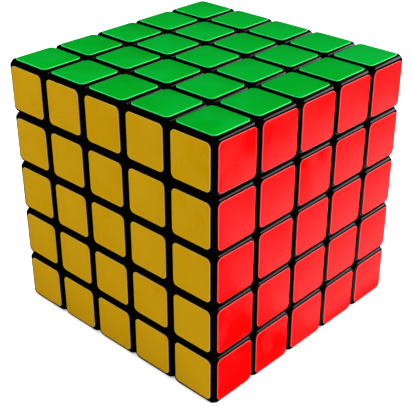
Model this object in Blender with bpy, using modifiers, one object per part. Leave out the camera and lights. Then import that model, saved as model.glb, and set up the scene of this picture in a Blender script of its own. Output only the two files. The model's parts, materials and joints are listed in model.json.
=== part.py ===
"""A twisty puzzle cube with five layers along each edge, modelled in metres with +Z up.

The origin is the middle of the bottom face. Every layer of the cube is a solid of revolution about
its own turning axis: the joint between two neighbouring layers is a flat ring near the surface and
steps towards the middle inside a radius that the corner feet need. A block is the cube, its outer
edges rounded, cut by one layer solid along each of X, Y and Z. So it keeps a foot under its
neighbours' lips and still slides past them when a layer turns. Layer numbers run from -2 to 2 along
each axis, and INNER stands for the three middle layers taken together.
"""

import math

import bmesh
import bpy
from mathutils import Matrix, Vector

# Driving dimensions, in metres
PITCH = 0.0136                      # one small cube
LAYERS = 5
GAP = 0.0003                        # running gap between neighbouring pieces
STEP_RADIUS = 2.32 * PITCH          # where the joints between layers step inwards
OUTER_FOOT_LEVEL = 1.075 * PITCH    # how deep the outer layers' feet reach
INNER_FOOT_LEVEL = 0.37 * PITCH     # how deep the second layers' feet reach
CAVITY_RADIUS = 1.48 * PITCH        # ball-shaped room for the core
SEAM_DEPTH = 0.0008                 # groove between small cubes of one block
EDGE_RADIUS = 0.0010                # rounding of the cube's twelve outer edges
EDGE_STEPS = 2

CORE_RADIUS = 0.0150
BOSS_RADIUS = 0.0042
BOSS_LEVEL = 0.0160                 # face of each screw boss, from the cube's centre
SOCKET_RADIUS = 0.0015
SOCKET_FLOOR = 0.0075

DISC_LEVEL = BOSS_LEVEL + GAP       # hidden inner centres
DISC_THICKNESS = 0.0028
DISC_BALL_RADIUS = CAVITY_RADIUS - 2 * GAP
DISC_RIM_STEPS = 2

SHANK_RADIUS = 0.0012
SHANK_HOLE_RADIUS = SHANK_RADIUS + GAP
SCREW_TIP = 0.0080
HEAD_RADIUS = 0.0029
HEAD_LEVEL = 0.0273
HEAD_HEIGHT = 0.0018
DRIVE_WIDTH = 0.0007                # arms of the cross recess in the head
DRIVE_LENGTH = 0.0032
DRIVE_DEPTH = 0.0009

BORE_RADIUS = 0.0036                # room for the screw head and spring
BORE_FLOOR = 0.0226
BORE_ROOF = 0.0308

SPRING_RADIUS = 0.0021              # to the middle of the wire
WIRE_RADIUS = 0.0003
SPRING_TURNS = 4
POINTS_PER_TURN = 8

TURNED_SEGMENTS = 40                # a multiple of 4, so quarter turns match
BALL_SEGMENTS = 24
SMALL_SEGMENTS = 16
SMOOTH_ANGLE = math.radians(30)

# Sizes that follow
SIDE = LAYERS * PITCH
HALF = SIDE / 2
CENTRE = Vector((0, 0, HALF))
OUTER_CUT = 1.5 * PITCH
INNER_CUT = 0.5 * PITCH
BEYOND = 1.5 * SIDE                 # clear of everything, for cutters
MARGIN = GAP / 2
INNER = "inner"

AXIS_TURNS = {
    "X": Matrix.Rotation(math.radians(90), 4, "Y"),
    "Y": Matrix.Rotation(math.radians(-90), 4, "X"),
    "Z": Matrix.Identity(4),
}
SIDE_NAMES = {
    ("X", -1): "left",
    ("X", 1): "right",
    ("Y", -1): "front",
    ("Y", 1): "back",
    ("Z", -1): "bottom",
    ("Z", 1): "top",
}
LAYER_NAMES = {2: "top", 1: "upper", 0: "middle", -1: "lower", -2: "bottom"}
COLUMN_KINDS = {2: "corner", 1: "wing", 0: "edge"}


# Scene and materials

def clear_scene():
    for existing in list(bpy.data.objects):
        bpy.data.objects.remove(existing, do_unlink=True)


def make_collection(name):
    collection = bpy.data.collections.new(name)
    bpy.context.scene.collection.children.link(collection)
    return collection


def make_material(name, colour, roughness, metallic):
    material = bpy.data.materials.new(name)
    material.use_nodes = True
    shader = material.node_tree.nodes["Principled BSDF"]
    shader.inputs["Base Color"].default_value = (*colour, 1)
    shader.inputs["Roughness"].default_value = roughness
    shader.inputs["Metallic"].default_value = metallic
    return material


def add_part(name, mesh, placement):
    """A visible part with a material of its own."""
    part = bpy.data.objects.new(name, mesh)
    part.matrix_world = placement
    PARTS.objects.link(part)
    return part


def finish_part(part, look):
    part.data.materials.clear()
    part.data.materials.append(make_material(part.name, *LOOKS[look]))
    return part


def add_cutter(name, mesh, placement):
    """A solid that only cuts other parts."""
    cutter = bpy.data.objects.new(name, mesh)
    cutter.matrix_world = placement
    cutter.hide_render = True
    cutter.display_type = "WIRE"
    CUTTERS.objects.link(cutter)
    return cutter


def combine(part, cutter, operation):
    boolean = part.modifiers.new(f"{operation.lower()}_{cutter.name}", "BOOLEAN")
    boolean.operation = operation
    boolean.object = cutter
    boolean.solver = "EXACT"
    return boolean


# Basic meshes, centred on the cube's centre or on a turning axis

def box_mesh(name, size, centre=(0, 0, 0)):
    mesh = bpy.data.meshes.new(name)
    shape = bmesh.new()
    bmesh.ops.create_cube(shape, size=1)
    bmesh.ops.scale(shape, vec=size, verts=shape.verts)
    bmesh.ops.translate(shape, vec=centre, verts=shape.verts)
    shape.to_mesh(mesh)
    shape.free()
    return mesh


def rod_mesh(name, radius, low, high, segments):
    """A cylinder along Z between two levels."""
    mesh = bpy.data.meshes.new(name)
    shape = bmesh.new()
    bmesh.ops.create_cone(
        shape, cap_ends=True, segments=segments, radius1=radius, radius2=radius, depth=high - low)
    bmesh.ops.translate(shape, vec=(0, 0, (low + high) / 2), verts=shape.verts)
    shape.to_mesh(mesh)
    shape.free()
    smooth(mesh)
    return mesh


def ball_mesh(name, radius, segments):
    mesh = bpy.data.meshes.new(name)
    shape = bmesh.new()
    bmesh.ops.create_uvsphere(shape, u_segments=segments, v_segments=segments // 2, radius=radius)
    shape.to_mesh(mesh)
    shape.free()
    smooth(mesh)
    return mesh


def smooth(mesh):
    mesh.shade_smooth()
    mesh.set_sharp_from_angle(angle=SMOOTH_ANGLE)


def turned_mesh(name, profile, segments):
    """A closed solid of revolution about Z. The profile runs from the axis at the top,
    down the outer side and back to the axis at the bottom."""
    mesh = bpy.data.meshes.new(name)
    shape = bmesh.new()
    points = [shape.verts.new((radius, 0, level)) for radius, level in profile]
    for first, second in zip(points, points[1:]):
        shape.edges.new((first, second))
    shape.to_mesh(mesh)
    shape.free()
    turned = bpy.data.objects.new(name, mesh)
    bpy.context.scene.collection.objects.link(turned)
    screw = turned.modifiers.new("turn", "SCREW")
    screw.axis = "Z"
    screw.angle = math.tau
    screw.steps = segments
    screw.render_steps = segments
    screw.use_merge_vertices = True
    screw.merge_threshold = 0.00001
    bpy.context.view_layer.update()
    evaluated = turned.evaluated_get(bpy.context.evaluated_depsgraph_get())
    solid = bpy.data.meshes.new_from_object(evaluated)
    solid.name = name
    bpy.data.objects.remove(turned)
    bpy.data.meshes.remove(mesh)
    smooth(solid)
    return solid


# Layer solids

def level_profile(outer_level, foot_level, margin):
    """The joint between two layers from the axis outwards, moved by a margin. A positive margin
    draws the layer outside it back, and a negative one draws back the layer inside it."""
    step = STEP_RADIUS - margin
    return [(0, foot_level + margin), (step, foot_level + margin),
            (step, outer_level + margin), (BEYOND, outer_level + margin)]


def layer_mesh(layer):
    """One layer on the +Z side, or the layers that are symmetric about the middle."""
    outer_joint = (OUTER_CUT, OUTER_FOOT_LEVEL)
    inner_joint = (INNER_CUT, INNER_FOOT_LEVEL)
    if layer == 2:
        lower = level_profile(*outer_joint, MARGIN)
        profile = [(0, BEYOND), (BEYOND, BEYOND)] + lower[::-1]
    elif layer == 1:
        upper = level_profile(*outer_joint, -MARGIN)
        lower = level_profile(*inner_joint, MARGIN)
        profile = upper + lower[::-1]
    else:
        joint = outer_joint if layer == INNER else inner_joint
        upper = level_profile(*joint, -MARGIN)
        lower = [(radius, -level) for radius, level in upper]
        profile = upper + lower[::-1]
    return turned_mesh(f"layer_{layer}", profile, TURNED_SEGMENTS)


def make_layer_cutters():
    """Every layer solid along every axis, by axis and layer."""
    cutters = {}
    for layer in (0, 1, 2, INNER):
        mesh = layer_mesh(layer)
        for axis, turn in AXIS_TURNS.items():
            placement = Matrix.Translation(CENTRE) @ turn
            cutters[axis, layer] = add_cutter(f"cut_{axis}_{layer}", mesh, placement)
            if layer in (1, 2):
                flip = Matrix.Rotation(math.pi, 4, "X")
                cutters[axis, -layer] = add_cutter(f"cut_{axis}_minus_{layer}", mesh, placement @ flip)
    return cutters


# Blocks

def rounded_cube_mesh(name):
    """The outside of the whole puzzle."""
    mesh = bpy.data.meshes.new(name)
    shape = bmesh.new()
    bmesh.ops.create_cube(shape, size=SIDE)
    bmesh.ops.bevel(
        shape, geom=shape.edges, offset=EDGE_RADIUS, segments=EDGE_STEPS, profile=0.5, affect="EDGES")
    shape.to_mesh(mesh)
    shape.free()
    smooth(mesh)
    return mesh


def make_block(name, column, row, level):
    """The piece of the rounded cube in one layer along each of X, Y and Z."""
    block = add_part(name, rounded_cube_mesh(name), Matrix.Translation(CENTRE))
    for axis, layer in zip("XYZ", (column, row, level)):
        combine(block, LAYER_CUTTERS[axis, layer], "INTERSECT")
    combine(block, CAVITY_CUTTER, "DIFFERENCE")
    return block


def cut_seams(block, along, faces):
    """Two grooves across the given faces of a block that holds three small cubes in a row."""
    for side in (-1, 1):
        for face_axis, face_side in faces:
            name = f"seam_{along}_{side}_{face_axis}_{face_side}"
            if name not in SEAM_CUTTERS:
                SEAM_CUTTERS[name] = make_seam_cutter(name, along, side, face_axis, face_side)
            combine(block, SEAM_CUTTERS[name], "DIFFERENCE")


def make_seam_cutter(name, along, side, face_axis, face_side):
    size = Vector((BEYOND, BEYOND, BEYOND))
    centre = Vector((0, 0, 0))
    along_index = "XYZ".index(along)
    face_index = "XYZ".index(face_axis)
    size[along_index] = GAP
    centre[along_index] = side * INNER_CUT
    size[face_index] = 2 * SEAM_DEPTH
    centre[face_index] = face_side * HALF
    return add_cutter(name, box_mesh(name, size, centre), Matrix.Translation(CENTRE))


def visible_faces(row_axis, row_side, level):
    faces = [(row_axis, row_side)]
    if abs(level) == 2:
        faces.append(("Z", math.copysign(1, level)))
    return faces


def side_turn(axis, side):
    """Turns +Z towards one side of the cube, about the cube's centre."""
    turn = AXIS_TURNS[axis]
    if side < 0:
        turn = turn @ Matrix.Rotation(math.pi, 4, "X")
    return Matrix.Translation(CENTRE) @ turn


def make_columns():
    """The four upright corner columns, each of five loose cubes."""
    for level, level_name in LAYER_NAMES.items():
        kind = COLUMN_KINDS[abs(level)]
        for row in (-2, 2):
            for column in (-2, 2):
                row_name = SIDE_NAMES["Y", math.copysign(1, row)]
                column_name = SIDE_NAMES["X", math.copysign(1, column)]
                name = f"{kind}_{row_name}_{column_name}_{level_name}"
                finish_part(make_block(name, column, row, level), "plastic")


def make_bars():
    """Three cubes in a row between two corner columns, on each side and in each layer."""
    for level, level_name in LAYER_NAMES.items():
        for side in (-1, 1):
            for axis, along in (("Y", "X"), ("X", "Y")):
                name = f"{SIDE_NAMES[axis, side]}_bar_{level_name}"
                column, row = (INNER, 2 * side) if axis == "Y" else (2 * side, INNER)
                bar = make_block(name, column, row, level)
                cut_seams(bar, along, visible_faces(axis, side, level))
                if level == 0:
                    combine(bar, BORE_CUTTERS[axis, side], "DIFFERENCE")
                    combine(bar, HOLE_CUTTERS[axis, side], "DIFFERENCE")
                finish_part(bar, "plastic")


def make_centres():
    """The fixed centre on top and underneath, and the ring of eight centre cubes round it."""
    for side in (-1, 1):
        side_name = SIDE_NAMES["Z", side]
        centre = make_block(f"{side_name}_fixed_centre", 0, 0, 2 * side)
        combine(centre, BORE_CUTTERS["Z", side], "DIFFERENCE")
        combine(centre, HOLE_CUTTERS["Z", side], "DIFFERENCE")
        finish_part(centre, "plastic")
        ring = make_block(f"{side_name}_centre_ring", INNER, INNER, 2 * side)
        combine(ring, CENTRE_CUTTER, "DIFFERENCE")
        for along in ("X", "Y"):
            cut_seams(ring, along, [("Z", side)])
        finish_part(ring, "plastic")


def make_centre_cutter():
    """The room for the fixed centres: both middle layers' solids, grown by the running gap."""
    profile = level_profile(INNER_CUT, INNER_FOOT_LEVEL, MARGIN)
    lower = [(radius, -level) for radius, level in profile]
    mesh = turned_mesh("middle_room", profile + lower[::-1], TURNED_SEGMENTS)
    room = add_cutter("middle_room_x", mesh, side_turn("X", 1))
    other = add_cutter("middle_room_y", mesh, side_turn("Y", 1))
    combine(room, other, "INTERSECT")
    return room


def make_rod_cutters(name, radius, low, high):
    mesh = rod_mesh(name, radius, low, high, SMALL_SEGMENTS)
    return {key: add_cutter(f"{name}_{SIDE_NAMES[key]}", mesh, side_turn(*key)) for key in SIDE_NAMES}


# What holds the blocks together

def make_core():
    ball = ball_mesh("core", CORE_RADIUS, BALL_SEGMENTS)
    core = add_part("core", ball, Matrix.Translation(CENTRE))
    boss_mesh = rod_mesh("boss", BOSS_RADIUS, 0, BOSS_LEVEL, SMALL_SEGMENTS)
    for key, side_name in SIDE_NAMES.items():
        combine(core, add_cutter(f"boss_{side_name}", boss_mesh, side_turn(*key)), "UNION")
    sockets = make_rod_cutters("socket", SOCKET_RADIUS, SOCKET_FLOOR, BOSS_LEVEL + GAP)
    for socket in sockets.values():
        combine(core, socket, "DIFFERENCE")
    finish_part(core, "core")


def make_inner_centres():
    """The hidden half of the upper and lower centres, a domed disc that turns on the screw."""
    top = DISC_LEVEL + DISC_THICKNESS
    rim = [top - DISC_THICKNESS * step / DISC_RIM_STEPS for step in range(DISC_RIM_STEPS + 1)]
    profile = [(SHANK_HOLE_RADIUS, DISC_LEVEL), (SHANK_HOLE_RADIUS, top)]
    profile += [(math.sqrt(DISC_BALL_RADIUS ** 2 - level ** 2), level) for level in rim]
    profile.append(profile[0])
    mesh = turned_mesh("inner_centre", profile, BALL_SEGMENTS)
    for side in (-1, 1):
        name = f"{SIDE_NAMES['Z', side]}_inner_centre"
        finish_part(add_part(name, mesh.copy(), side_turn("Z", side)), "core")


def make_screws():
    head_top = HEAD_LEVEL + HEAD_HEIGHT
    chamfer = GAP
    profile = [(0, head_top), (HEAD_RADIUS - chamfer, head_top), (HEAD_RADIUS, head_top - chamfer),
               (HEAD_RADIUS, HEAD_LEVEL), (SHANK_RADIUS, HEAD_LEVEL),
               (SHANK_RADIUS, SCREW_TIP + SHANK_RADIUS), (0, SCREW_TIP)]
    mesh = turned_mesh("screw", profile, SMALL_SEGMENTS)
    middle = (0, 0, head_top)
    arm_x = box_mesh("drive_x", (DRIVE_LENGTH, DRIVE_WIDTH, 2 * DRIVE_DEPTH), middle)
    arm_y = box_mesh("drive_y", (DRIVE_WIDTH, DRIVE_LENGTH, 2 * DRIVE_DEPTH), middle)
    for key, side_name in SIDE_NAMES.items():
        placement = side_turn(*key)
        screw = add_part(f"{side_name}_screw", mesh.copy(), placement)
        combine(screw, add_cutter(f"drive_x_{side_name}", arm_x, placement), "DIFFERENCE")
        combine(screw, add_cutter(f"drive_y_{side_name}", arm_y, placement), "DIFFERENCE")
        finish_part(screw, "steel")


def make_springs():
    low = BORE_FLOOR + GAP + WIRE_RADIUS
    high = HEAD_LEVEL - GAP - WIRE_RADIUS
    count = SPRING_TURNS * POINTS_PER_TURN
    for key, side_name in SIDE_NAMES.items():
        curve = bpy.data.curves.new(f"{side_name}_spring", "CURVE")
        curve.dimensions = "3D"
        curve.bevel_depth = WIRE_RADIUS
        curve.bevel_resolution = 2
        curve.use_fill_caps = True
        wire = curve.splines.new("POLY")
        wire.points.add(count)
        for index, point in enumerate(wire.points):
            angle = math.tau * index / POINTS_PER_TURN
            level = low + (high - low) * index / count
            point.co = (SPRING_RADIUS * math.cos(angle), SPRING_RADIUS * math.sin(angle), level, 1)
        finish_part(add_part(f"{side_name}_spring", curve, side_turn(*key)), "steel")


LOOKS = {
    "plastic": ((0.012, 0.012, 0.013), 0.38, 0),
    "core": ((0.75, 0.74, 0.70), 0.5, 0),
    "steel": ((0.62, 0.62, 0.64), 0.28, 1),
}

clear_scene()
PARTS = make_collection("twisty_puzzle_cube")
CUTTERS = make_collection("cutters")
SEAM_CUTTERS = {}
LAYER_CUTTERS = make_layer_cutters()
CAVITY_CUTTER = add_cutter(
    "cavity", ball_mesh("cavity", CAVITY_RADIUS, BALL_SEGMENTS), Matrix.Translation(CENTRE))
BORE_CUTTERS = make_rod_cutters("bore", BORE_RADIUS, BORE_FLOOR, BORE_ROOF)
HOLE_CUTTERS = make_rod_cutters("hole", SHANK_HOLE_RADIUS, 0, BORE_FLOOR + GAP)
CENTRE_CUTTER = make_centre_cutter()

make_columns()
make_bars()
make_centres()
make_core()
make_inner_centres()
make_screws()
make_springs()
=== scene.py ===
"""The looks of the twisty puzzle cube: separate rounded cubelets and vinyl stickers on the CAD frame."""

import json
import math
import random

import bmesh
import bpy
from mathutils import Matrix, Vector


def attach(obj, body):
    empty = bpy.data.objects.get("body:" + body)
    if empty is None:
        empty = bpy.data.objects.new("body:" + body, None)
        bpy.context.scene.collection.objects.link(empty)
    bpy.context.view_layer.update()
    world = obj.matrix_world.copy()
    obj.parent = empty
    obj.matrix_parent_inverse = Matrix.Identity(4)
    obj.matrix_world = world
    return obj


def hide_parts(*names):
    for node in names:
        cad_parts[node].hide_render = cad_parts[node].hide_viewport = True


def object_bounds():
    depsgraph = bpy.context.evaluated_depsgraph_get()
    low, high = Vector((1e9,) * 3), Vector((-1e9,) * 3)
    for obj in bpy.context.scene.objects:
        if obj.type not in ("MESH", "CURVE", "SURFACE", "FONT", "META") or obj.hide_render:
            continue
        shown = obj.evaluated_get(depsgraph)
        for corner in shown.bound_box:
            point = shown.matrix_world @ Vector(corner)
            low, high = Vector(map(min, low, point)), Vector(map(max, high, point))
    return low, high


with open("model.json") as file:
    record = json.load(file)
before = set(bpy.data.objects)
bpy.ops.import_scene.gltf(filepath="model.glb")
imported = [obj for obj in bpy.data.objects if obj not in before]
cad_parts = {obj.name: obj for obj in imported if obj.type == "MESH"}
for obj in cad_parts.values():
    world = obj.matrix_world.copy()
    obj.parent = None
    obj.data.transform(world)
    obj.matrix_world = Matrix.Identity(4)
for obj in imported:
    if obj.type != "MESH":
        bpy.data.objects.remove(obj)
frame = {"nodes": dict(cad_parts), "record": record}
cad_low, cad_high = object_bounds()

# Sizes from the frame, in metres
LAYERS = 5
OUTER = LAYERS // 2                 # layers are numbered from -OUTER to OUTER, and three of them make a cell
SIDE = cad_high.x - cad_low.x
PITCH = SIDE / LAYERS
HALF = SIDE / 2
CENTRE = (cad_low + cad_high) / 2
BEYOND = 1.5 * SIDE                 # clear of everything

# Cubelets
GAP = 0.0003                        # between neighbouring cubelets
EDGE_RADIUS = 0.00095
EDGE_STEPS = 4
CORNER_REACH = 0.0015               # corners are rounder than edges from here on
CORNER_PULL = 0.0007                # how far in the point of a corner moves
CORNER_RINGS = 2
FOOT_GAP = 0.0004                   # feet draw back a little more than the cubelets do
CLEAR = 0.00002                     # keeps cut surfaces from coinciding
FOOT_COVER = 0.0028                 # feet start below the rounded edges
STEP_RADIUS = 2.32 * PITCH          # where the joints between layers step inwards
OUTER_JOINT = (1.5 * PITCH, 1.075 * PITCH)      # between layers 2 and 1: outside the step, then inside it
INNER_JOINT = (0.5 * PITCH, 0.37 * PITCH)       # between layers 1 and 0
CAVITY_RADIUS = 1.48 * PITCH        # ball-shaped room for the core
BORE_RADIUS = 0.0036                # room in a fixed centre for its screw head and spring
BORE_FLOOR = 0.0226
BORE_ROOF = 0.0308
SHANK_HOLE_RADIUS = 0.0015
TURNED_SEGMENTS = 96
MERGE_DISTANCE = 0.000002
SMOOTH_ANGLE = math.radians(30)

# Stickers
STICKER_WIDTHS = {"yellow": 0.825 * PITCH, "red": 0.857 * PITCH}     # each sheet was cut to its own size
OTHER_WIDTH = 0.845 * PITCH
STICKER_CORNER = 0.0012
STICKER_CORNER_STEPS = 7
STICKER_THICKNESS = 0.00022
STICKER_EDGE_RADIUS = 0.00010
STICKER_SINK = 0.00002              # into the plastic, so that no light passes underneath
STICKER_SHIFT = 0.00007             # hand-laid: a little off centre
STICKER_TURN = math.radians(0.35)   # and a little off square
STICKER_RIM_STEPS = 2
FLAT_NORMAL = 0.99                  # a face lies flat when its normal's part along Z is more than this

# Camera
CAMERA_DISTANCE = 0.2388
CAMERA_AZIMUTH = math.radians(43.25)
CAMERA_ELEVATION = math.radians(27.41)
CAMERA_AIM = Vector((0.00185, -0.00254, -0.00562))      # from the cube's centre
CAMERA_ROLL = math.radians(-0.1)
CAMERA_LENS = 80.15
CAMERA_NEAR = 0.01
CAMERA_FAR = 20

# Studio
FLOOR_REACH = 3.0
FLOOR_GAP = 0.00005                 # below the stickers that the cube stands on
FLOOR_LEVEL = cad_low.z - STICKER_THICKNESS - FLOOR_GAP
FLOOR_GLOW = 0.35
WORLD_LIGHT = 0.40                  # how much light the white room gives
WORLD_GLOSS = 0.04                  # how much of the room shows in the gloss
LIGHTS = {                          # by angles like the camera's, which are in degrees here
    "window": dict(azimuth=144, elevation=23, distance=0.9, width=0.9, height=0.42, power=3.2),
    "side": dict(azimuth=100, elevation=24, distance=0.8, width=0.6, height=0.6, power=2.6, shines=False),
    "fill": dict(azimuth=-60, elevation=42, distance=0.45, width=0.4, height=0.4, power=1, shines=False),
}
CARD_LOW = Vector((0.036, 0.005, 0))    # corners of a bounce card on the floor, by the right side
CARD_HIGH = Vector((0.12, 0.17, 0))
CARD_LIFT = 0.001
CARD_POWER = 0.034

# Looks
PLASTIC_COLOURS = ((0.0020, 0.0020, 0.0021), (0.008, 0.008, 0.0084))     # fresh and worn
CORE_COLOURS = ((0.66, 0.65, 0.61), (0.76, 0.75, 0.71))
STEEL_COLOURS = ((0.50, 0.50, 0.52), (0.66, 0.66, 0.67))
PAPER_COLOURS = ((0.90, 0.90, 0.90), (0.93, 0.93, 0.93))
WHITE = (1, 1, 1, 1)
WEAR_DEPTHS = (1.2 * EDGE_RADIUS, 0.3 * EDGE_RADIUS)    # how far below the faces wear starts and is full
SEED_SPREAD = 40.0                  # how far apart the noise of two pieces lies
FACES = {
    "front": ("yellow", Vector((0, -1, 0))),
    "right": ("red", Vector((1, 0, 0))),
    "top": ("green", Vector((0, 0, 1))),
    "back": ("white", Vector((0, 1, 0))),
    "left": ("orange", Vector((-1, 0, 0))),
    "bottom": ("blue", Vector((0, 0, -1))),
}
COLOURS = {                         # each film where clean, where dulled by handling and paled by painted sheen, and at its cut rim, which is a painted highlight
    # the yellow is darker than the film itself: painted shade of the front side
    "yellow": ((0.475, 0.290, 0.0), (0.505, 0.315, 0.0), (0.60, 0.42, 0.03)),
    "red": ((0.92, 0.0, 0.001), (0.95, 0.018, 0.021), (1.0, 0.09, 0.09)),
    "green": ((0.0, 0.38, 0.030), (0.002, 0.44, 0.066), (0.02, 0.82, 0.19)),
    "white": ((0.50, 0.50, 0.49), (0.46, 0.46, 0.44), (0.60, 0.60, 0.58)),
    "orange": ((0.90, 0.19, 0.002), (0.92, 0.23, 0.030), (1.0, 0.30, 0.06)),
    "blue": ((0.0, 0.045, 0.48), (0.02, 0.090, 0.52), (0.03, 0.15, 0.75)),
}
RIM_HIGHLIGHT_RAGGED = 0.12                   # how much paler the rim's painted highlight is in places
HAZE_AND_SHEEN = 0.55                         # how dull a sticker is, and how pale with painted sheen, from 0 to 1
HAZE_AND_SHEEN_SPREAD = 0.12
HAZE_AND_SHEEN_SLOPE = Vector((0, 0.05, -0.05))   # for each layer: duller towards the back and the bottom, and paler there as painted sheen of the light on that side
OWN_HAZE_AND_SHEEN = {                        # the most polished stickers, whose deeper colour is partly a painted dark reflection, and the most worn one
    ("right", (2, -2, -1)): 0.12,
    ("right", (2, -2, -2)): 0.05,
    ("right", (2, -1, -2)): 0.22,
    # painted reflection: this sticker's deep colour stands in for the dark reflection of its tilted cubelet
    ("right", (2, 0, 1)): 0.28,
    ("top", (2, 2, 2)): 1.0,
}
PATCHES_AND_REFLECTIONS = 5.2                       # how unevenly a half-clean sticker is dulled; the patches are smudges and painted reflections of the room
PATCH_FADE = 4.0                    # how fast the patches merge as the haze grows
DRAW = random.Random(5)

# Names
SIDE_NAMES = {"x": ("left", "right"), "y": ("front", "back"), "z": ("bottom", "top")}
LEVEL_NAMES = {2: "top", 1: "upper", 0: "middle", -1: "lower", -2: "bottom"}
COLUMN_KINDS = {2: "corner", 1: "wing", 0: "edge"}
NODE_BODY = {node: body for body, nodes in frame["record"]["behaviour"]["bodies"].items() for node in nodes}


# Meshes

def new_object(name, mesh, placement=None):
    made = bpy.data.objects.new(name, mesh)
    if placement is not None:
        made.matrix_world = placement
    bpy.context.scene.collection.objects.link(made)
    return made


def mesh_from(name, shape):
    mesh = bpy.data.meshes.new(name)
    shape.to_mesh(mesh)
    shape.free()
    return mesh


def box_shape(low, high):
    shape = bmesh.new()
    bmesh.ops.create_cube(shape, size=1)
    bmesh.ops.scale(shape, vec=high - low, verts=shape.verts)
    bmesh.ops.translate(shape, vec=(low + high) / 2, verts=shape.verts)
    return shape


def turned_mesh(name, profile):
    """A solid of revolution about Z from a closed run of points that starts and ends on the axis."""
    shape = bmesh.new()
    points = [shape.verts.new((radius, 0, level)) for radius, level in profile]
    edges = [shape.edges.new(pair) for pair in zip(points, points[1:])]
    bmesh.ops.spin(shape, geom=points + edges, axis=(0, 0, 1), angle=math.tau, steps=TURNED_SEGMENTS,
                   use_merge=True)
    bmesh.ops.remove_doubles(shape, verts=shape.verts, dist=MERGE_DISTANCE)
    bmesh.ops.recalc_face_normals(shape, faces=shape.faces)
    return mesh_from(name, shape)


def ball_mesh(name, radius):
    shape = bmesh.new()
    bmesh.ops.create_uvsphere(shape, u_segments=TURNED_SEGMENTS, v_segments=TURNED_SEGMENTS // 2,
                              radius=radius)
    return mesh_from(name, shape)


def rod_mesh(name, radius, low, high):
    return turned_mesh(name, [(0, high), (radius, high), (radius, low), (0, low)])


def combined(name, start, steps):
    """The mesh of start after a list of Booleans, each an operation and a mesh with its placement."""
    part = new_object(name, start)
    tools = []
    for operation, mesh, placement in steps:
        tool = new_object(f"{name}_tool", mesh, placement)
        boolean = part.modifiers.new("boolean", "BOOLEAN")
        boolean.operation = operation
        boolean.object = tool
        boolean.solver = "EXACT"
        tools.append(tool)
    bpy.context.view_layer.update()
    evaluated = part.evaluated_get(bpy.context.evaluated_depsgraph_get())
    result = bpy.data.meshes.new_from_object(evaluated)
    result.name = name
    for used in [part, *tools]:
        bpy.data.objects.remove(used)
    return result


def smooth(mesh):
    mesh.shade_smooth()
    mesh.set_sharp_from_angle(angle=SMOOTH_ANGLE)


# Cubelets

def level_profile(joint, foot_gap, block_gap):
    """One side of a layer's room: a disc-shaped step inside the step radius, then the plane outside it."""
    block_level, foot_level = joint
    step = STEP_RADIUS - foot_gap
    return [(0, foot_level + foot_gap), (step, foot_level + foot_gap),
            (step, block_level + block_gap), (BEYOND, block_level + block_gap)]


def layer_mesh(layer, foot_gap, block_gap):
    """The room of one layer about Z, as in the CAD, drawn back by its own gaps."""
    if layer == OUTER:
        upper = [(0, BEYOND), (BEYOND, BEYOND)]
        lower = level_profile(OUTER_JOINT, foot_gap, block_gap)
    elif layer == 1:
        upper = level_profile(OUTER_JOINT, -foot_gap, -block_gap)
        lower = level_profile(INNER_JOINT, foot_gap, block_gap)
    else:
        upper = level_profile(INNER_JOINT, -foot_gap, -block_gap)
        lower = [(radius, -level) for radius, level in upper]
    return turned_mesh(f"layer_{layer}", upper + lower[::-1])


def layer_rooms(foot_gap, block_gap):
    """The rooms of the layers from the middle one outwards, about Z."""
    return [layer_mesh(layer, foot_gap, block_gap) for layer in range(OUTER + 1)]


def trims(cell, rooms):
    """The Boolean steps that keep what lies in a cell's layers along X, Y and Z."""
    turns = [Matrix.Rotation(math.pi / 2, 4, "Y"), Matrix.Rotation(-math.pi / 2, 4, "X"), Matrix.Identity(4)]
    return [("INTERSECT", rooms[layer], turn) for layer, turn in zip(cell, turns)]


def round_corners(shape, low, high):
    """Rings round the eight corners of a box, then pulls each corner in along its diagonal."""
    for ring in range(CORNER_RINGS):
        inset = CORNER_REACH * (1 - ring / CORNER_RINGS)
        for axis in range(3):
            normal = Vector([float(axis == index) for index in range(3)])
            for point in (low + normal * inset, high - normal * inset):
                everything = shape.verts[:] + shape.edges[:] + shape.faces[:]
                bmesh.ops.bisect_plane(shape, geom=everything, plane_co=point, plane_no=normal)
    middle = (low + high) / 2
    for vert in shape.verts:
        offset = vert.co - middle
        insets = [side / 2 - abs(reach) for side, reach in zip(high - low, offset)]
        depth = 1 - max(insets) / CORNER_REACH
        if depth > 0:
            outward = Vector([math.copysign(1, reach) for reach in offset]).normalized()
            vert.co -= outward * CORNER_PULL * depth ** 2


def rounded_block(cell):
    """The outer part of a cubelet, a box with every edge rounded."""
    half = Vector((PITCH, PITCH, PITCH)) / 2
    low = Vector(cell) * PITCH - half
    high = Vector(cell) * PITCH + half
    for axis, layer in enumerate(cell):
        low[axis] += GAP / 2
        if layer < OUTER:
            high[axis] -= GAP / 2
    shape = box_shape(low, high)
    bmesh.ops.bevel(shape, geom=shape.edges, offset=EDGE_RADIUS, segments=EDGE_STEPS, profile=0.5,
                    affect="EDGES")
    round_corners(shape, low, high)
    return mesh_from("rounded_block", shape)


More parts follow.
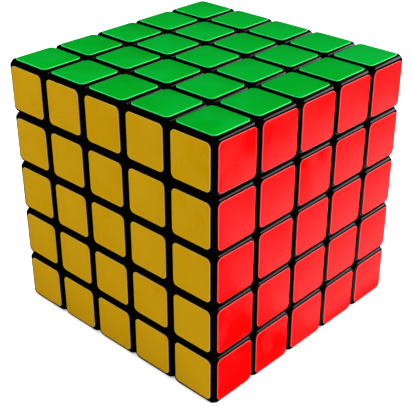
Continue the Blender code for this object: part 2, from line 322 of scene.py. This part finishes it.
def cubelet_mesh(cell, foot_rooms, block_rooms, cavity):
    """A cubelet in its own frame, with its foot. The cell's layers are positive, smallest first."""
    in_place = Matrix.Identity(4)
    reach = Vector((HALF - FOOT_COVER,) * 3)
    foot_room = mesh_from("foot_room", box_shape(-reach, reach))
    foot = combined("foot", foot_room, trims(cell, foot_rooms) + [("DIFFERENCE", cavity, in_place)])
    steps = trims(cell, block_rooms) + [("UNION", foot, in_place)]
    if cell == (0, 0, OUTER):
        bore = rod_mesh("bore", BORE_RADIUS, BORE_FLOOR, BORE_ROOF)
        hole = rod_mesh("hole", SHANK_HOLE_RADIUS, 0, BORE_FLOOR + GAP)
        steps += [("DIFFERENCE", bore, in_place), ("DIFFERENCE", hole, in_place)]
    cut = combined("cut", rounded_block(cell), steps)
    shape = bmesh.new()
    shape.from_mesh(cut)
    bmesh.ops.remove_doubles(shape, verts=shape.verts, dist=MERGE_DISTANCE)
    bmesh.ops.translate(shape, vec=-Vector(cell) * PITCH, verts=shape.verts)
    mesh = mesh_from("cubelet_" + "".join(map(str, cell)), shape)
    smooth(mesh)
    return mesh


def quarter_turns():
    """The 24 ways to turn a cube onto itself: six ways up, and four spins of each."""
    tips = [Matrix.Rotation(quarters * math.pi / 2, 3, "X") for quarters in range(4)]
    tips += [Matrix.Rotation(quarters * math.pi / 2, 3, "Y") for quarters in (-1, 1)]
    spins = [Matrix.Rotation(quarters * math.pi / 2, 3, "Z") for quarters in range(4)]
    return [tip @ spin for tip in tips for spin in spins]


def turn_onto(start, goal, turns):
    """A turn of the cube that carries one cell to another."""
    for turn in turns:
        if tuple(round(layer) for layer in turn @ Vector(start)) == goal:
            return turn
    raise ValueError(f"no turn carries {start} to {goal}")


def side_name(axis, layer):
    return SIDE_NAMES[axis][layer > 0]


def cell_name(kind, cell):
    """A name that counts the cell's layers from 1."""
    return f"{kind}_" + "_".join(str(layer + OUTER + 1) for layer in cell)


def cad_node(cell):
    """The CAD node that holds a cell."""
    column, row, level = cell
    if abs(column) == OUTER and abs(row) == OUTER:
        kind = COLUMN_KINDS[abs(level)]
        return f"{kind}_{side_name('y', row)}_{side_name('x', column)}_{LEVEL_NAMES[level]}"
    if abs(row) == OUTER:
        return f"{side_name('y', row)}_bar_{LEVEL_NAMES[level]}"
    if abs(column) == OUTER:
        return f"{side_name('x', column)}_bar_{LEVEL_NAMES[level]}"
    part = "fixed_centre" if column == row == 0 else "centre_ring"
    return f"{side_name('z', level)}_{part}"


def surface_cells():
    span = range(-OUTER, OUTER + 1)
    return [(x, y, z) for x in span for y in span for z in span if OUTER in (abs(x), abs(y), abs(z))]


def make_cubelets(material):
    """One object for each cubelet. Cubelets of the same kind share a mesh and are turned into place."""
    foot_rooms = layer_rooms(FOOT_GAP / 2, FOOT_GAP / 2)
    block_rooms = layer_rooms(FOOT_GAP / 2 + CLEAR, GAP / 2 - CLEAR)
    cavity = ball_mesh("cavity", CAVITY_RADIUS)
    turns = quarter_turns()
    shapes = {}
    for cell in surface_cells():
        first = tuple(sorted(abs(layer) for layer in cell))
        if first not in shapes:
            shapes[first] = cubelet_mesh(first, foot_rooms, block_rooms, cavity)
            shapes[first].materials.clear()
            shapes[first].materials.append(material)
        turn = turn_onto(first, cell, turns)
        place = Matrix.Translation(CENTRE + Vector(cell) * PITCH) @ turn.to_4x4()
        cubelet = new_object(cell_name("cubelet", cell), shapes[first], place)
        node = cad_node(cell)
        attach(cubelet, NODE_BODY[node])
        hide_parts(node)


# Stickers

def sticker_mesh(width):
    """A thin square of vinyl with round corners. Its face has material 0 and its cut edge material 1."""
    shape = bmesh.new()
    reach = width / 2 - STICKER_CORNER
    outline = []
    for corner in range(4):
        turn = corner * math.pi / 2
        middle = Matrix.Rotation(turn, 2) @ Vector((reach, reach))
        for step in range(STICKER_CORNER_STEPS + 1):
            angle = turn + step / STICKER_CORNER_STEPS * math.pi / 2
            outline.append(middle + STICKER_CORNER * Vector((math.cos(angle), math.sin(angle))))
    base = shape.faces.new([shape.verts.new((x, y, -STICKER_SINK)) for x, y in outline])
    raised = bmesh.ops.extrude_face_region(shape, geom=[base])
    top_verts = [item for item in raised["geom"] if isinstance(item, bmesh.types.BMVert)]
    bmesh.ops.translate(shape, vec=(0, 0, STICKER_THICKNESS + STICKER_SINK), verts=top_verts)
    rim = [edge for edge in shape.edges if all(vert in top_verts for vert in edge.verts)]
    bmesh.ops.bevel(shape, geom=rim, offset=STICKER_EDGE_RADIUS, segments=STICKER_RIM_STEPS, profile=0.5,
                    affect="EDGES")
    bmesh.ops.recalc_face_normals(shape, faces=shape.faces)
    for face in shape.faces:
        face.material_index = 0 if abs(face.normal.z) > FLAT_NORMAL else 1
    mesh = mesh_from("sticker", shape)
    smooth(mesh)
    return mesh


def make_stickers(vinyls, edges):
    """One sticker on each square of each face, with its own small shift, turn, and dulling with painted
    sheen.
    """
    meshes = {}
    for colour in COLOURS:
        mesh = sticker_mesh(STICKER_WIDTHS.get(colour, OTHER_WIDTH))
        mesh.materials.append(vinyls[colour])
        mesh.materials.append(edges[colour])
        meshes[colour] = mesh
    for face, (colour, outward) in FACES.items():
        facing = outward.to_track_quat("Z", "Y").to_matrix().to_4x4()
        for cell in surface_cells():
            if Vector(cell).dot(outward) < OUTER:
                continue
            shift = Vector((DRAW.uniform(-1, 1), DRAW.uniform(-1, 1), 0)) * STICKER_SHIFT
            turn = Matrix.Rotation(DRAW.uniform(-1, 1) * STICKER_TURN, 4, "Z")
            on_face = CENTRE + Vector(cell) * PITCH + outward * PITCH / 2
            place = Matrix.Translation(on_face) @ facing @ Matrix.Translation(shift) @ turn
            sticker = new_object(cell_name(f"sticker_{face}", cell), meshes[colour], place)
            # painted sheen: the haze pales the film's colour as well as dulling it
            dulled_and_sheen = HAZE_AND_SHEEN + HAZE_AND_SHEEN_SLOPE.dot(cell) + DRAW.uniform(-1, 1) * HAZE_AND_SHEEN_SPREAD
            sticker["haze"] = OWN_HAZE_AND_SHEEN.get((face, cell), dulled_and_sheen)
            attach(sticker, NODE_BODY[cad_node(cell)])


# Materials

class Nodes:
    """Short calls for building the node tree of a material or a world, around its shader."""

    def __init__(self, owner, shader="Principled BSDF"):
        owner.use_nodes = True
        self.owner = owner
        self.tree = owner.node_tree
        self.shader = self.tree.nodes[shader]

    def add(self, kind, inputs=None, **settings):
        """A new node with its settings, and with its inputs set or linked."""
        node = self.tree.nodes.new(kind)
        for key, value in settings.items():
            setattr(node, key, value)
        for key, value in (inputs or {}).items():
            self.feed(node, key, value)
        return node

    def feed(self, node, key, value):
        if isinstance(value, bpy.types.NodeSocket):
            self.tree.links.new(value, node.inputs[key])
        else:
            node.inputs[key].default_value = value

    def math(self, operation, *values):
        inputs = dict(enumerate(values))
        return self.add("ShaderNodeMath", inputs, operation=operation).outputs[0]

    def noise(self, position, scale, detail, seed=0.0, swirl=0.0):
        inputs = {"Vector": position, "W": seed, "Scale": scale, "Detail": detail, "Distortion": swirl}
        return self.add("ShaderNodeTexNoise", inputs, noise_dimensions="4D").outputs["Fac"]

    def scaled(self, value, low=0.0, high=1.0, start=0.0, end=1.0):
        """Runs from low to high as the value runs from start to end, and stays within them."""
        inputs = {"Value": value, "From Min": start, "From Max": end, "To Min": low, "To Max": high}
        return self.add("ShaderNodeMapRange", inputs).outputs["Result"]

    def mix(self, factor, first, second):
        """The first colour where the factor is 0, and the second where it is 1."""
        node = self.add("ShaderNodeMix", {0: factor}, data_type="RGBA")
        colour_inputs = [socket for socket in node.inputs if socket.type == "RGBA"]
        for socket, colour in zip(colour_inputs, (first, second)):
            socket.default_value = (*colour, 1)
        return next(socket for socket in node.outputs if socket.type == "RGBA")

    def bump(self, height, strength, distance, below=None):
        inputs = {"Height": height, "Strength": strength, "Distance": distance}
        if below is not None:
            inputs["Normal"] = below
        return self.add("ShaderNodeBump", inputs).outputs["Normal"]

    def position(self):
        return self.add("ShaderNodeTexCoord").outputs["Object"]

    def piece_seed(self):
        """A number that differs from piece to piece, to move the noise on."""
        return self.math("MULTIPLY", self.add("ShaderNodeObjectInfo").outputs["Random"], SEED_SPREAD)

    def set(self, **values):
        """Sets or links the shader's inputs, named with _ for each space."""
        for key, value in values.items():
            self.feed(self.shader, key.replace("_", " "), value)


def new_material(name):
    return Nodes(bpy.data.materials.new(name))


def edge_mask(nodes, position, start, end):
    """1 along the edges of a box about the origin and 0 on its faces, from the second largest distance."""
    parts = nodes.add("ShaderNodeSeparateXYZ", {"Vector": position})
    x, y, z = (nodes.math("ABSOLUTE", parts.outputs[axis]) for axis in "XYZ")
    larger = nodes.math("MAXIMUM", x, y)
    smaller = nodes.math("MINIMUM", x, y)
    second = nodes.math("MAXIMUM", smaller, nodes.math("MINIMUM", larger, z))
    return nodes.scaled(second, start=start, end=end)


def black_plastic():
    """Moulded black plastic, faintly grained, with handling shine on its rounded edges."""
    nodes = new_material("black_plastic_looks")
    position = nodes.position()
    seed = nodes.piece_seed()
    wear_start, wear_end = (PITCH / 2 - depth for depth in WEAR_DEPTHS)
    edge = edge_mask(nodes, position, wear_start, wear_end)
    broad = nodes.noise(position, scale=160.0, detail=4, seed=seed)
    grain = nodes.noise(position, scale=5200.0, detail=2, seed=seed)
    scuffs = nodes.scaled(nodes.noise(position, scale=900.0, detail=6, seed=seed), start=0.56, end=0.72)
    wear = nodes.math("MULTIPLY", edge, scuffs)
    polish = nodes.scaled(wear, high=0.06)
    scratched = nodes.bump(scuffs, strength=0.15, distance=0.00001)
    nodes.set(
        Base_Color=nodes.mix(wear, *PLASTIC_COLOURS),
        Roughness=nodes.math("SUBTRACT", nodes.scaled(broad, low=0.14, high=0.24), polish),
        Normal=nodes.bump(grain, strength=0.25, distance=0.00001, below=scratched),
        Specular_IOR_Level=0.5,
    )
    return nodes.owner


def vinyl(colour_name):
    """Sticker film: glossy and deep where it is clean, duller where handling has scratched it, and pale
    there with painted sheen.
    """
    clean, dulled_and_sheen, _ = COLOURS[colour_name]
    nodes = new_material(f"{colour_name}_vinyl")
    position = nodes.position()
    seed = nodes.piece_seed()
    # handling dulls the film; the pale colour that comes with it is painted sheen
    haze = nodes.add("ShaderNodeAttribute", attribute_type="OBJECT", attribute_name="haze").outputs["Fac"]
    cloudy = nodes.noise(position, scale=90.0, detail=3, seed=seed, swirl=0.8)
    fine = nodes.noise(position, scale=700.0, detail=4, seed=seed)
    peel = nodes.noise(position, scale=1500.0, detail=2, seed=seed)
    clearness = nodes.math("POWER", nodes.math("SUBTRACT", 1.0, haze), PATCH_FADE)
    patchiness = nodes.math("MULTIPLY", haze, clearness)
    # patches: smudges, and painted reflections of the room with their boundaries
    patches_and_reflections = nodes.scaled(cloudy, low=-PATCHES_AND_REFLECTIONS, high=PATCHES_AND_REFLECTIONS, start=0.38, end=0.62)
    dulling_and_sheen = nodes.math("ADD", haze, nodes.math("MULTIPLY", patches_and_reflections, patchiness))
    dulling_and_sheen = nodes.math("ADD", dulling_and_sheen, nodes.scaled(fine, low=-0.06, high=0.06))
    dulling_and_sheen = nodes.scaled(dulling_and_sheen)
    waves = nodes.bump(cloudy, strength=0.10, distance=0.0002)
    nodes.set(
        # the dulled colour is paler: painted sheen
        Base_Color=nodes.mix(dulling_and_sheen, clean, dulled_and_sheen),
        Roughness=nodes.scaled(dulling_and_sheen, low=0.20, high=0.48),
        Normal=nodes.bump(peel, strength=0.12, distance=0.00002, below=waves),
        Specular_IOR_Level=0.12,
    )
    return nodes.owner


def cut_edge_highlight(colour_name):
    """The cut rim of the film, brighter than its face as a painted highlight of light caught on the edge,
    and a little ragged.
    """
    # painted highlight: the pale rim colour stands in for light caught on the cut edge
    rim = COLOURS[colour_name][2]
    paler_highlight = tuple(channel + RIM_HIGHLIGHT_RAGGED * (1 - channel) for channel in rim)
    nodes = new_material(f"{colour_name}_cut_edge")
    ragged = nodes.noise(nodes.position(), scale=2500.0, detail=3, seed=nodes.piece_seed())
    nodes.set(
        Base_Color=nodes.mix(ragged, rim, paler_highlight),
        Roughness=nodes.scaled(ragged, low=0.35, high=0.55),
        Normal=nodes.bump(ragged, strength=0.2, distance=0.00001),
    )
    return nodes.owner


def core_plastic():
    nodes = new_material("core_plastic_looks")
    position = nodes.position()
    cloudy = nodes.noise(position, scale=120.0, detail=3)
    grain = nodes.noise(position, scale=3000.0, detail=2)
    nodes.set(
        Base_Color=nodes.mix(cloudy, *CORE_COLOURS),
        Roughness=nodes.scaled(cloudy, low=0.42, high=0.58),
        Normal=nodes.bump(grain, strength=0.3, distance=0.00002),
    )
    return nodes.owner


def steel():
    nodes = new_material("steel_looks")
    position = nodes.position()
    cloudy = nodes.noise(position, scale=700.0, detail=4)
    drawn = nodes.noise(position, scale=6000.0, detail=2)
    nodes.set(
        Base_Color=nodes.mix(cloudy, *STEEL_COLOURS),
        Roughness=nodes.scaled(drawn, low=0.20, high=0.38),
        Normal=nodes.bump(drawn, strength=0.2, distance=0.00001),
        Metallic=1.0,
    )
    return nodes.owner


def dress_frame(looks):
    """Better materials on the CAD nodes that stay: the core, the inner centres, the screws and springs."""
    slots = {row["node"]: row["material_slot"] for row in frame["record"]["subparts"]}
    for name, node in frame["nodes"].items():
        if slots[name] in looks:
            node.data.materials.clear()
            node.data.materials.append(looks[slots[name]])
            smooth(node.data)


# Studio

def make_floor():
    """Pale paper with a faint glow, as on a light table. The cube's gloss doesn't show it."""
    shape = bmesh.new()
    bmesh.ops.create_grid(shape, x_segments=1, y_segments=1, size=FLOOR_REACH)
    floor = new_object("floor", mesh_from("floor", shape), Matrix.Translation((0, 0, FLOOR_LEVEL)))
    floor.visible_glossy = False
    nodes = new_material("floor_paper")
    fibre = nodes.noise(nodes.position(), scale=60.0, detail=4)
    nodes.set(
        Base_Color=nodes.mix(fibre, *PAPER_COLOURS),
        Roughness=nodes.scaled(fibre, low=0.85, high=0.95),
        Specular_IOR_Level=0.1,
        Emission_Color=WHITE,
        Emission_Strength=FLOOR_GLOW,
    )
    floor.data.materials.append(nodes.owner)


def from_angles(azimuth, elevation, distance):
    """An offset from the cube. Azimuth 0 is in front of it, at -Y, and 90 degrees is at +X."""
    flat = math.cos(elevation)
    return distance * Vector((math.sin(azimuth) * flat, -math.cos(azimuth) * flat, math.sin(elevation)))


def area_light(name, width, height, power):
    """A lamp that the camera doesn't see."""
    light = bpy.data.lights.new(name, "AREA")
    light.shape = "RECTANGLE"
    light.size = width
    light.size_y = height
    light.energy = power
    holder = bpy.data.objects.new(name, light)
    bpy.context.scene.collection.objects.link(holder)
    holder.visible_camera = False
    return holder


def make_light(name, azimuth, elevation, distance, width, height, power, shines=True):
    """A soft light aimed at the cube, placed by angles like the camera's. One that doesn't shine lights the
    colours but leaves no highlight."""
    holder = area_light(name, width, height, power)
    offset = from_angles(math.radians(azimuth), math.radians(elevation), distance)
    holder.location = CENTRE + offset
    holder.rotation_euler = (-offset).to_track_quat("-Z", "Y").to_euler()
    holder.visible_glossy = shines


def make_card():
    """A card that lies on the floor and sends light up at the right side."""
    extent = CARD_HIGH - CARD_LOW
    card = area_light("card", extent.x, extent.y, CARD_POWER)
    card.location = (CARD_LOW + CARD_HIGH) / 2 + Vector((0, 0, FLOOR_LEVEL + CARD_LIFT))
    card.rotation_euler = (math.pi, 0, 0)


def make_world():
    """A white room: full white behind the cube, softer as light on it and dim in its gloss."""
    world = bpy.data.worlds.new("studio")
    bpy.context.scene.world = world
    nodes = Nodes(world, "Background")
    ray = nodes.add("ShaderNodeLightPath").outputs
    level = nodes.math("MULTIPLY_ADD", ray["Is Camera Ray"], 1 - WORLD_LIGHT, WORLD_LIGHT)
    level = nodes.math("MULTIPLY_ADD", ray["Is Glossy Ray"], WORLD_GLOSS - WORLD_LIGHT, level)
    nodes.set(Strength=level, Color=WHITE)


def make_camera():
    camera = bpy.data.cameras.new("camera")
    camera.lens = CAMERA_LENS
    camera.clip_start = CAMERA_NEAR
    camera.clip_end = CAMERA_FAR
    holder = bpy.data.objects.new("camera", camera)
    bpy.context.scene.collection.objects.link(holder)
    holder.location = CENTRE + from_angles(CAMERA_AZIMUTH, CAMERA_ELEVATION, CAMERA_DISTANCE)
    look = CENTRE + CAMERA_AIM - holder.location
    turn = look.to_track_quat("-Z", "Y").to_matrix() @ Matrix.Rotation(CAMERA_ROLL, 3, "Z")
    holder.rotation_euler = turn.to_euler()
    bpy.context.scene.camera = holder


make_camera()
make_cubelets(black_plastic())
make_stickers({name: vinyl(name) for name in COLOURS}, {name: cut_edge_highlight(name) for name in COLOURS})
dress_frame({"core_plastic": core_plastic(), "steel": steel()})
make_floor()
make_card()
for light_name, settings in LIGHTS.items():
    make_light(light_name, **settings)
make_world()
bpy.context.scene.view_settings.view_transform = "Standard"
bpy.context.scene.view_settings.look = "High Contrast"
